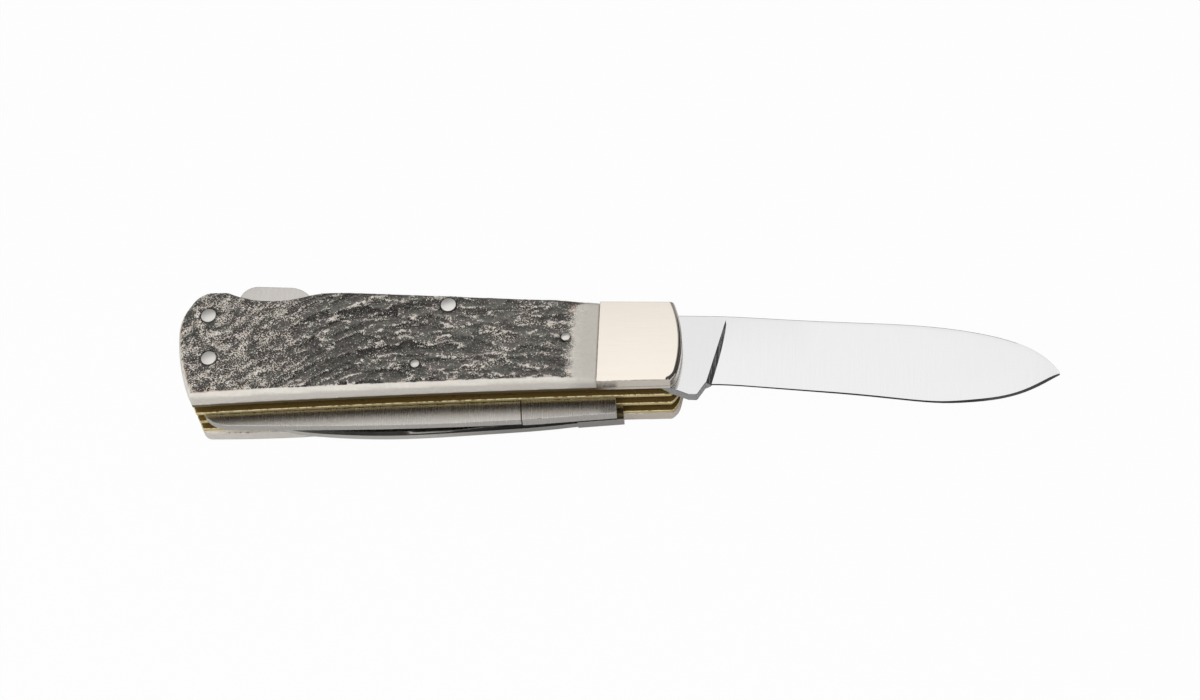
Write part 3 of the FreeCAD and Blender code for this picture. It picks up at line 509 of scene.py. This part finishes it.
# marks the ramp in front of the ricasso, and bows out its foot
def bowRamp(bm, shape):
    low, high = shape["lean"]
    flatness, tilt = shape["ground"]

    def ramp(face):
        return face.normal.x > low and low < abs(face.normal.z) < high

    def ground(face):
        return abs(face.normal.z) > flatness and face.normal.y < tilt

    bm.normal_update()
    marked = bm.faces.layers.float.new("ramp")
    feet = []
    for face in filter(ramp, bm.faces):
        face[marked] = 1.0
        feet += [edge for edge in face.edges if any(ground(near) for near in edge.link_faces)]
    for foot in feet:
        bottom, top = sorted(vert.co.y for vert in foot.verts)
        made = bmesh.ops.subdivide_edges(bm, edges=[foot], cuts=shape["cuts"])
        for vert in made["geom_inner"]:
            if isinstance(vert, bmesh.types.BMVert):
                down = (top - vert.co.y) / (top - bottom)
                vert.co.x += shape["bow"] * mm * math.sqrt(down) * (1.0 - down)


# even cuts along the length, so that a piece can bend
def cutAcross(bm, node, cuts):
    low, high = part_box(node)
    for cut in range(1, cuts):
        everything = bm.verts[:] + bm.edges[:] + bm.faces[:]
        place = low.lerp(high, cut / cuts)
        bmesh.ops.bisect_plane(bm, geom=everything, plane_co=place, plane_no=(1.0, 0.0, 0.0))


# a bending piece only has its placement baked into its mesh here
def bendPiece(piece):
    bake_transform(piece)


def makeMetalPiece(node, name, finish, width, shadedAngle):
    bm = mergedMesh(node)
    if node in sliverGap:
        closeSlivers(bm, sliverGap[node] * mm)
    if node in rampShapes:
        mergeFlat(bm)
        bowRamp(bm, rampShapes[node])
    softenEdges(bm, width, shadedAngle)
    if node in bendingPieces:
        cutAcross(bm, node, bendingPieces[node]["cuts"])
    piece = addPiece(name, bm, node, finishes[finish])
    if node in bendingPieces:
        bendPiece(piece)
    evened = piece.modifiers.new("evenFaces", "WEIGHTED_NORMAL")
    evened.keep_sharp = True


for node, (name, finish, width, shadedAngle) in metalPieces.items():
    makeMetalPiece(node, name, finish, width, shadedAngle)
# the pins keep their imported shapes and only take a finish
for node, shown in frame["nodes"].items():
    if slotOf[node] == "pin_steel":
        shown.data.materials.clear()
        shown.data.materials.append(finishes["pin_steel"])
print("metal pieces:", len(metalPieces))

# stag: its relief is carved inwards from the outer face, all lengths in millimetres
stagShape = {
    "grid": 0.26,
    "depth": 0.75,
    "jointReach": 8.85,
    "slopeRun": 10.0,
    "slopeDrop": 1.1,
    "rimInset": 1.0,
    "backInset": -0.7,
    "rimBlend": 0.35,
    "wallShare": 0.9,
    "polishWidth": 5.6,
    "polishBlend": 2.8,
    "polishEnds": 4.5,
    "wobble": 0.9,
    "ragged": (0.2, 0.6),  # share of the wobble at the rims and at the polished front
    "slopeBlend": 0.4,
    "snap": 0.35,
    "snapFacing": (-0.97, -0.2),
    "bellyBlend": 0.6,
    "carveDrop": (1.6, 0.2),
    "pinShadeRing": (0.1, 0.6),
}
# what changes at the worn rear, and the tone that rises towards the front
stagRear = {"relief": 0.55, "ridge": 0.75, "toneAndShade": 0.35, "toneShare": 0.7, "wander": 6.0}
stagFront = {"toneAndShade": 0.16, "middle": 0.4}
# cream specks: how thick they lie at the rear, in the middle, in front and at the rims, and where that changes
specks = {
    "rear": 0.40, "middle": 0.05, "front": 0.18, "border": 0.25,
    "rearReach": (-68.0, -82.0), "frontReach": (-58.0, -36.0),
    "drift": (-0.15, 0.55), "driftGain": 2.0,
    "cloud": (-0.45, 0.40), "cloudSlope": 0.3, "cloudGain": (0.25, 1.1),
    "borderReach": (0.98, 0.5),
}
# two sizes of scallops: length and width of a cell, reach of the line at its border, and where that line breaks
scallops = {
    "large": {"cell": (7.5, 2.4), "layer": 3.0, "line": (0.05, 0.26), "breaks": (-0.25, 0.25)},
    "small": {"cell": (3.6, 1.2), "layer": 13.0, "line": (0.05, 0.34), "breaks": (0.0, 0.4)},
}
# the side of a scallop that carries its line, the least lengthwise run of its border, and the scale of its own number
lineSide = (0.20, -0.10)
leastLengthwise = 0.15
cellScale = 5.3
# noise of each kind: its length, its width, and a layer of its own; large and small break the scallops' lines
waves = {
    "bend": (6.0, 3.0, 0.0),
    "broad": (5.0, 2.6, 7.0),
    "narrow": (1.3, 1.0, 9.0),
    "large": (4.0, 1.6, 11.0),
    "small": (6.0, 2.6, 19.0),
    "rough": (0.9, 0.5, 17.0),
    "ragged": (1.4, 1.1, 23.0),
    "rear": (9.0, 5.0, 31.0),
    "cloud": (2.6, 2.0, 37.0),
    "drift": (5.5, 2.2, 41.0),
}
# what the stag's material reads from its mesh
stagMasks = ("bark", "ridge", "speck", "toneAndShade", "front")
# the grain climbs at the rear and lies along the handle in front; its lines bend by these lengths
grainFlow = {"rear": -74.0, "front": -48.0, "slope": 0.58, "bend": 2.0, "narrow": 0.3}
# shares of the scallops' parts in the relief's height, and in its tone with painted shade: the tilt parts darken each
# cell at its top, just below the crest line of the cell above
heightShares = {"base": 0.5, "tilt": -0.5, "fineTilt": -0.2, "line": 0.25, "fineLine": 0.12, "rough": 0.10}
toneAndShadeShares = {"own": 0.40, "fineOwn": 0.2, "tilt": -0.70, "fineTilt": -0.25, "rough": 0.2, "base": 0.15}
fineRidge = 0.75


def smoothStep(low, high, value):
    share = min(max((value - low) / (high - low), 0.0), 1.0)
    return share * share * (3.0 - 2.0 * share)


def wave(kind, x, y, layer, octaves=3):
    length, width, own = waves[kind]
    return noise.fractal(Vector((x / length, y / width, layer + own)), 1.0, 2.0, octaves)


# height of the grain's line at that reach: the sum of a slope that fades towards the front in a smooth step
def grainDrift(x):
    span = grainFlow["front"] - grainFlow["rear"]
    share = min(max((x - grainFlow["rear"]) / span, 0.0), 1.0)
    faded = share - share ** 3 + 0.5 * share ** 4
    return grainFlow["slope"] * (min(x - grainFlow["rear"], 0.0) + span * faded)


# the line along a scallop's border, the place between its borders, and a number of the cell's own
def scallop(kind, x, bent, across, layer):
    setup = scallops[kind]
    spot = Vector((bent / setup["cell"][0], across / setup["cell"][1], layer + setup["layer"]))
    distances, centres = noise.voronoi(spot)
    apart = centres[1] - centres[0]
    lengthwise = abs(apart.y) / max(apart.length, 1e-6)
    border = (distances[1] - distances[0]) / max(lengthwise, leastLengthwise)
    tilt = spot.y - centres[0].y
    own = 0.5 + 0.5 * noise.noise(centres[0] * cellScale)
    broken = smoothStep(*setup["breaks"], wave(kind, x, across, layer))
    line = (1.0 - smoothStep(*setup["line"], border)) * broken * smoothStep(*lineSide, tilt)
    return line, tilt, own


def mixed(shares, parts):
    return min(max(sum(share * parts[part] for part, share in shares.items()), 0.0), 1.0)


# height, ridge, and tone with painted shade below each crest line, of the bark at one place
def grainRelief(x, y, layer):
    across = y - grainDrift(x)
    bent = x + grainFlow["bend"] * wave("bend", x, across, layer)
    across += wave("broad", x, across, layer) + grainFlow["narrow"] * wave("narrow", x, across, layer)
    parts = {"base": 1.0, "rough": wave("rough", x, across, layer)}
    parts["line"], parts["tilt"], parts["own"] = scallop("large", x, bent, across, layer)
    parts["fineLine"], parts["fineTilt"], parts["fineOwn"] = scallop("small", x, bent, across, layer)
    ridge = max(parts["line"], fineRidge * parts["fineLine"])
    return mixed(heightShares, parts), ridge, mixed(toneAndShadeShares, parts)


# how thick the cream specks lie, in drifts along the grain and in clouds at the rear
def speckCover(x, y, rear, layer):
    across = y - grainDrift(x)
    ahead = smoothStep(*specks["frontReach"], x)
    drift = smoothStep(*specks["drift"], wave("drift", x, across, layer))
    cloud = smoothStep(*specks["cloud"], wave("cloud", x, y - specks["cloudSlope"] * x, layer))
    forward = (specks["middle"] + ahead * (specks["front"] - specks["middle"])) * specks["driftGain"] * drift
    base, gain = specks["cloudGain"]
    return rear * specks["rear"] * (base + gain * cloud) + (1.0 - rear) * forward


# middle and radius of each pin, in millimetres
pins = []
for node in frame["nodes"]:
    if node.endswith("_pin"):
        low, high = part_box(node)
        pins.append(((low + high) / 2 / mm, (high.x - low.x) / 2 / mm))

# heights of the scale's wall that are read for its outline, the space left out around a pin, and how many of the
# outline's points count as neighbours
wallLevels = (0.8, 2.0)
pinSpace = 2.5
neighbours = 12


# the scale's outline in plan: the vertices of its walls, away from the pin holes
def outlineTree(mesh, inner, outward):
    points = []
    for vertex in mesh.vertices:
        spot = vertex.co / mm
        level = (spot.z - inner) * outward
        spot.z = 0.0
        onWall = wallLevels[0] < level < wallLevels[1]
        if onWall and all((spot - pin).xy.length > pinSpace for pin, radius in pins):
            points.append(spot)
    tree = kdtree.KDTree(len(points))
    for index, point in enumerate(points):
        tree.insert(point, index)
    tree.balance()
    return tree


# the nearest place on the line between neighbouring points of the outline
def onOutline(tree, spot):
    near = [point for point, index, away in tree.find_n(spot, neighbours)]
    other = max(near, key=lambda point: (point - near[0]).length)
    along = (other - near[0]).normalized()
    return (near[0] + along * (Vector(spot) - near[0]).dot(along)).xy


# the piece's mesh, laid out anew on a fine even grid
def gridMesh(piece, size):
    grid = piece.modifiers.new("fineGrid", "REMESH")
    grid.mode = "VOXEL"
    grid.voxel_size = size * mm
    bpy.context.view_layer.update()
    fine = bpy.data.meshes.new_from_object(piece.evaluated_get(bpy.context.evaluated_depsgraph_get()))
    piece.modifiers.clear()
    plain = piece.data
    piece.data = fine
    bpy.data.meshes.remove(plain)
    fine.name = piece.name
    return fine


def makeStagScale(node, name, layer):
    shape = stagShape
    run, blend = shape["slopeRun"], shape["slopeBlend"]
    low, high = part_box(node)
    upper = low.z + high.z > cadBox[0].z + cadBox[1].z
    outward = 1.0 if upper else -1.0
    inner = (low.z if upper else high.z) / mm
    full = (high.z - low.z) / mm
    belly = low.y / mm
    back = high.y / mm
    fine = gridMesh(addPiece(name, mergedMesh(node), node, stagFinish), shape["grid"])
    rimTree = outlineTree(fine, inner, outward)
    facings = [vertex.normal.copy() for vertex in fine.vertices]
    masks = {key: [] for key in stagMasks}
    for vertex in fine.vertices:
        x, y, z = vertex.co / mm
        rise = (z - inner) * outward
        nearest, index, inset = rimTree.find((x, y, 0.0))
        facing = (nearest.y - y) / inset if inset > shape["grid"] else facings[vertex.index].y
        inward = shape["snapFacing"][0] < facings[vertex.index].z * outward < shape["snapFacing"][1]
        if rise < shape["snap"] and inset < shape["snap"] and inward:
            vertex.co.xy = onOutline(rimTree, (x, y, 0.0)) * mm
            vertex.co.z = inner * mm
        ahead = -shape["jointReach"] - x
        slope = smoothStep(run + blend, run - blend, ahead)
        crown = full - slope * shape["slopeDrop"] * (1.0 - ahead / run)
        drop = crown - rise
        centre = 2.0 * (y - belly) / (back - belly) - 1.0
        bellySide = smoothStep(shape["bellyBlend"], -shape["bellyBlend"], facing)
        limit = shape["backInset"] + bellySide * (shape["rimInset"] - shape["backInset"])
        ragged = shape["wobble"] * wave("ragged", x, y, layer, 4)
        covered = inset - shape["wallShare"] * drop + shape["ragged"][0] * ragged
        bark = smoothStep(limit - shape["rimBlend"], limit + shape["rimBlend"], covered)
        width = shape["polishWidth"] * (1.0 - abs(centre) ** shape["polishEnds"])
        edge = ahead + shape["ragged"][1] * ragged
        front = 1.0 - smoothStep(width - shape["polishBlend"], width + shape["polishBlend"], edge)
        bark *= 1.0 - front
        height, ridge, toneAndShade = grainRelief(x, y, layer)
        wander = stagRear["wander"] * wave("rear", x, y, layer)
        rear = smoothStep(*specks["rearReach"], x + wander)
        height = 1.0 - (1.0 - height) * (1.0 - stagRear["relief"] * rear)
        ridge *= 1.0 - stagRear["ridge"] * rear
        forward = smoothStep(*specks["frontReach"], x) - stagFront["middle"]
        toneAndShade += stagRear["toneShare"] * rear * (stagRear["toneAndShade"] - toneAndShade) + stagFront["toneAndShade"] * forward
        speck = speckCover(x, y, rear, layer) + specks["border"] * smoothStep(*specks["borderReach"], bark)
        speck = min(speck, 1.0)
        # painted shadow: a dark ring around each pin, for the shade in the gap around its head
        clear = min((vertex.co / mm - pin).xy.length - radius for pin, radius in pins)
        clear = smoothStep(*shape["pinShadeRing"], clear)
        ridge, speck, toneAndShade = ridge * clear, speck * clear, toneAndShade * clear
        carved = bark * (1.0 - height) * shape["depth"] * smoothStep(*shape["carveDrop"], drop)
        vertex.co.z = min(max(vertex.co.z - outward * carved * mm, low.z), high.z)
        for key, value in zip(masks, (bark, ridge, speck, toneAndShade, front)):
            masks[key].append(value)
    for key, values in masks.items():
        attribute = fine.attributes.new(key, "FLOAT", "POINT")
        attribute.data.foreach_set("value", values)
    fine.shade_smooth()


stagLook = {
    "darkFacet": (0.027, 0.026, 0.024),
    "paleFacet": (0.165, 0.157, 0.143),
    "rearFacet": (0.045, 0.034, 0.027),
    "green": (0.97, 1.015, 0.985),
    "plum": (1.04, 0.98, 1.0),
    "cream": (0.80, 0.755, 0.69),
    "secondColor": (0.50, 0.45, 0.39),
    "rim": (0.78, 0.74, 0.675),
    "front": (0.59, 0.553, 0.497),
    "blush": (0.45, 0.26, 0.19),
    "drawn": {"stretch": (0.8, 1.0, 1.0), "turn": 8.0},
    "grain": (3800.0, 2.0, 0.65),
    "flake": (1250.0, 4.0, 0.7),
    "pore": (5200.0, 2.0, 0.6),
    "drift": (230.0, 2.0),
    "blushPatch": (160.0, 2.0),
    "blushLimits": (("bark", 0.0, 0.5), ("bark", 1.0, 0.7), ("front", 0.4, 0.0)),
    "blushShare": 0.7,
    "mottle": 0.9,
    "uneven": 0.25,
    "ridgeCover": 0.95,
    "grainSpread": 3.3,
    "borderSpread": 2.4,
    "tintReach": (0.40, 0.60),
    "underSpecks": (0.12, 0.45, 0.0, 0.7),
    "grainShows": (0.94, 1.10),
    "creamReach": (0.35, 0.65),
    "clouds": (0.35, 0.7, 0.0, 0.12),
    "barkShows": (0.38, 0.60),
    "blushReach": (0.46, 0.62),
    "roughness": (0.30, 0.55),  # of the polish and of the bark
    "gloss": 0.2,
    "bump": 0.5,
    "bumpDepth": 0.2,
    "poreBump": 0.3,
    "grainBump": 0.5,
}


def makeStag(look):
    material, tree, shader = newFinish("stag")
    plain = objectPlace(tree)
    drawn = objectPlace(tree, **look["drawn"])
    masks = {}
    for key in stagMasks:
        masks[key] = addNode(tree, "ShaderNodeAttribute", attribute_name=key).outputs["Fac"]
    grains = addNoise(tree, drawn, *look["grain"])
    flakes = addNoise(tree, drawn, *look["flake"])
    pores = addNoise(tree, plain, *look["pore"])
    drifts = addNoise(tree, plain, *look["drift"])
    centred = addMath(tree, "SUBTRACT", grains, 0.5)
    # dark facets, faintly green or plum, and brown under the specks
    flaked = addMath(tree, "SUBTRACT", flakes, 0.5)
    # the tone mask carries painted shade: each facet is darker just below the crest line above it
    mottled = addMath(tree, "MULTIPLY_ADD", flaked, look["mottle"], masks["toneAndShade"], clamp=True)
    facet = addMix(tree, mottled, look["darkFacet"], look["paleFacet"])
    tint = addMix(tree, addRange(tree, drifts, *look["tintReach"]), look["green"], look["plum"])
    tinted = addNode(tree, "ShaderNodeVectorMath", operation="MULTIPLY")
    link(tree, facet, tinted.inputs[0])
    link(tree, tint, tinted.inputs[1])
    under = addRange(tree, masks["speck"], *look["underSpecks"])
    facet = addMix(tree, under, tinted.outputs[0], look["rearFacet"])
    # cream specks: the thicker they lie, the lower a grain may be that still shows
    cover = addMath(tree, "MULTIPLY_ADD", masks["ridge"], look["ridgeCover"], masks["speck"], clamp=True)
    spread = addMath(tree, "MULTIPLY_ADD", centred, look["grainSpread"], 0.5)
    lifted = addMath(tree, "ADD", spread, cover)
    pale = addRange(tree, lifted, *look["grainShows"])
    speckColor = addMix(tree, addRange(tree, flakes, *look["creamReach"]), look["secondColor"], look["cream"])
    barkColor = addMix(tree, pale, facet, speckColor)
    # polished rims, greyer on the ground front, with a faint blush where the bark begins
    rim = addMix(tree, masks["front"], look["rim"], look["front"])
    clouded = addMix(tree, addRange(tree, flakes, *look["clouds"]), rim, look["paleFacet"])
    border = addMath(tree, "MULTIPLY_ADD", centred, look["borderSpread"], masks["bark"])
    covered = addRange(tree, border, *look["barkShows"])
    warm = addRange(tree, addNoise(tree, plain, *look["blushPatch"]), *look["blushReach"])
    blush = addMath(tree, "MULTIPLY", warm, look["blushShare"])
    for key, low, high in look["blushLimits"]:
        blush = addMath(tree, "MULTIPLY", blush, addRange(tree, masks[key], low, high))
    blushed = addMix(tree, blush, addMix(tree, covered, clouded, barkColor), look["blush"])
    link(tree, blushed, shader.inputs["Base Color"])
    rough = addRange(tree, covered, 0.0, 1.0, *look["roughness"])
    uneven = addMath(tree, "MULTIPLY_ADD", flaked, look["uneven"], rough)
    link(tree, uneven, shader.inputs["Roughness"])
    shader.inputs["Specular IOR Level"].default_value = look["gloss"]
    bump = addNode(tree, "ShaderNodeBump", {"Strength": look["bump"], "Distance": look["bumpDepth"] * mm})
    grainBump = addMath(tree, "MULTIPLY", lifted, look["grainBump"])
    texture = addMath(tree, "MULTIPLY_ADD", pores, look["poreBump"], grainBump)
    link(tree, addMath(tree, "MULTIPLY", texture, covered), bump.inputs["Height"])
    link(tree, bump.outputs["Normal"], shader.inputs["Normal"])
    return material


stagFinish = makeStag(stagLook)
makeStagScale("upper_scale", "upperScale", 0.0)
makeStagScale("lower_scale", "lowerScale", 60.0)
print("stag scales carved")

# stage: a pale floor, a soft world and lamps
floorSetup = {"size": 6.0, "color": (0.56, 0.56, 0.56), "roughness": 0.9, "glow": 0.97, "mirroredGlow": 0.05}
flagSetup = {
    "width": 1300.0, "height": 520.0, "place": (520.0, 330.0, 262.0), "turn": -35.0,
    "color": (0.10, 0.10, 0.10), "roughness": 1.0,
}
worldSetup = {
    "high": 0.42, "horizon": 0.25, "below": 0.30, "skyRise": (0.80, 0.93), "groundRise": (-0.3, 0.0),
    "dark": (0.085, -0.497, 0.864), "darkReach": (0.80, 0.93), "darkShade": 0.10,
}
lampSetup = {
    "softbox": {"place": (-70.0, 231.0, 755.0), "size": (900.0, 580.0), "energy": 0.985, "mirrored": True},
    "sideBox": {"place": (-520.0, -180.0, 420.0), "size": (300.0, 300.0), "energy": 0.6, "mirrored": True},
    "frontFill": {"place": (-60.0, -380.0, 690.0), "size": (700.0, 500.0), "energy": 3.7, "mirrored": False},
    "frontBox": {"place": (40.0, -720.0, 300.0), "size": (1000.0, 240.0), "energy": 0.6, "mirrored": True},
}


def makeFloor(setup):
    bm = bmesh.new()
    bmesh.ops.create_grid(bm, x_segments=1, y_segments=1, size=setup["size"] / 2.0)
    bmesh.ops.translate(bm, verts=bm.verts, vec=(0.0, 0.0, cadBox[0].z))
    mesh = bpy.data.meshes.new("floor")
    bm.to_mesh(mesh)
    bm.free()
    material, tree, shader = newFinish("paleFloor")
    shader.inputs["Base Color"].default_value = (*setup["color"], 1.0)
    shader.inputs["Roughness"].default_value = setup["roughness"]
    glow = addNode(tree, "ShaderNodeEmission", {"Strength": 1.0})
    path = addNode(tree, "ShaderNodeLightPath")
    mirrored = addMath(tree, "MAXIMUM", path.outputs["Is Glossy Ray"], path.outputs["Is Transmission Ray"])
    seen = addMath(tree, "MULTIPLY", path.outputs["Is Camera Ray"], setup["glow"])
    both = addNode(tree, "ShaderNodeMixShader")
    link(tree, addMath(tree, "MULTIPLY_ADD", mirrored, setup["mirroredGlow"], seen, clamp=True), both.inputs["Fac"])
    link(tree, shader.outputs["BSDF"], both.inputs[1])
    link(tree, glow.outputs["Emission"], both.inputs[2])
    output = next(node for node in tree.nodes if node.type == "OUTPUT_MATERIAL")
    link(tree, both.outputs["Shader"], output.inputs["Surface"])
    mesh.materials.append(material)
    floor = bpy.data.objects.new("floor", mesh)
    scene.collection.objects.link(floor)


# a dark flag beside the set, which only the polished metal sees
def makeFlag(setup):
    bm = bmesh.new()
    bmesh.ops.create_grid(bm, x_segments=1, y_segments=1, size=0.5)
    bmesh.ops.scale(bm, verts=bm.verts, vec=(setup["width"] * mm, setup["height"] * mm, 1.0))
    stand = Matrix.Rotation(math.radians(setup["turn"]), 4, "Z") @ Matrix.Rotation(math.pi / 2, 4, "Y")
    stand = stand @ Matrix.Rotation(math.pi / 2, 4, "Z")
    bmesh.ops.transform(bm, matrix=Matrix.Translation(Vector(setup["place"]) * mm) @ stand, verts=bm.verts)
    mesh = bpy.data.meshes.new("flag")
    bm.to_mesh(mesh)
    bm.free()
    material, tree, shader = newFinish("blackFlag")
    shader.inputs["Base Color"].default_value = (*setup["color"], 1.0)
    shader.inputs["Roughness"].default_value = setup["roughness"]
    mesh.materials.append(material)
    flag = bpy.data.objects.new("flag", mesh)
    scene.collection.objects.link(flag)
    flag.visible_camera = False
    flag.visible_diffuse = False
    flag.visible_shadow = False


def makeWorld(setup):
    world = bpy.data.worlds.new("softWorld")
    scene.world = world
    world.use_nodes = True
    tree = world.node_tree
    tree.nodes.clear()
    place = addNode(tree, "ShaderNodeTexCoord")
    split = addNode(tree, "ShaderNodeSeparateXYZ")
    link(tree, place.outputs["Generated"], split.inputs["Vector"])
    sky = addRange(tree, split.outputs["Z"], *setup["skyRise"], setup["horizon"], setup["high"])
    # a dark patch in the sky above the front, for the lines along polished edges
    toward = addNode(tree, "ShaderNodeVectorMath", operation="DOT_PRODUCT")
    link(tree, place.outputs["Generated"], toward.inputs[0])
    toward.inputs[1].default_value = setup["dark"]
    patch = addRange(tree, toward.outputs["Value"], *setup["darkReach"], 1.0, setup["darkShade"])
    above = addMath(tree, "MULTIPLY", sky, patch)
    light = addNode(tree, "ShaderNodeBackground", {"Strength": 1.0})
    ground = addRange(tree, split.outputs["Z"], *setup["groundRise"])
    link(tree, addMix(tree, ground, (setup["below"],) * 3, above), light.inputs["Color"])
    output = addNode(tree, "ShaderNodeOutputWorld")
    link(tree, light.outputs["Background"], output.inputs["Surface"])


def makeLamp(name, setup):
    data = bpy.data.lights.new(name, "AREA")
    data.shape = "RECTANGLE"
    data.size = setup["size"][0] * mm
    data.size_y = setup["size"][1] * mm
    data.energy = setup["energy"]
    lamp = bpy.data.objects.new(name, data)
    lamp.visible_glossy = setup["mirrored"]
    scene.collection.objects.link(lamp)
    place = Vector(setup["place"]) * mm
    lamp.matrix_world = Matrix.Translation(place) @ place.to_track_quat("Z", "Y").to_matrix().to_4x4()


makeCamera(cameraSetup)
makeFloor(floorSetup)
makeFlag(flagSetup)
makeWorld(worldSetup)
for name, setup in lampSetup.items():
    makeLamp(name, setup)
print("stage set")
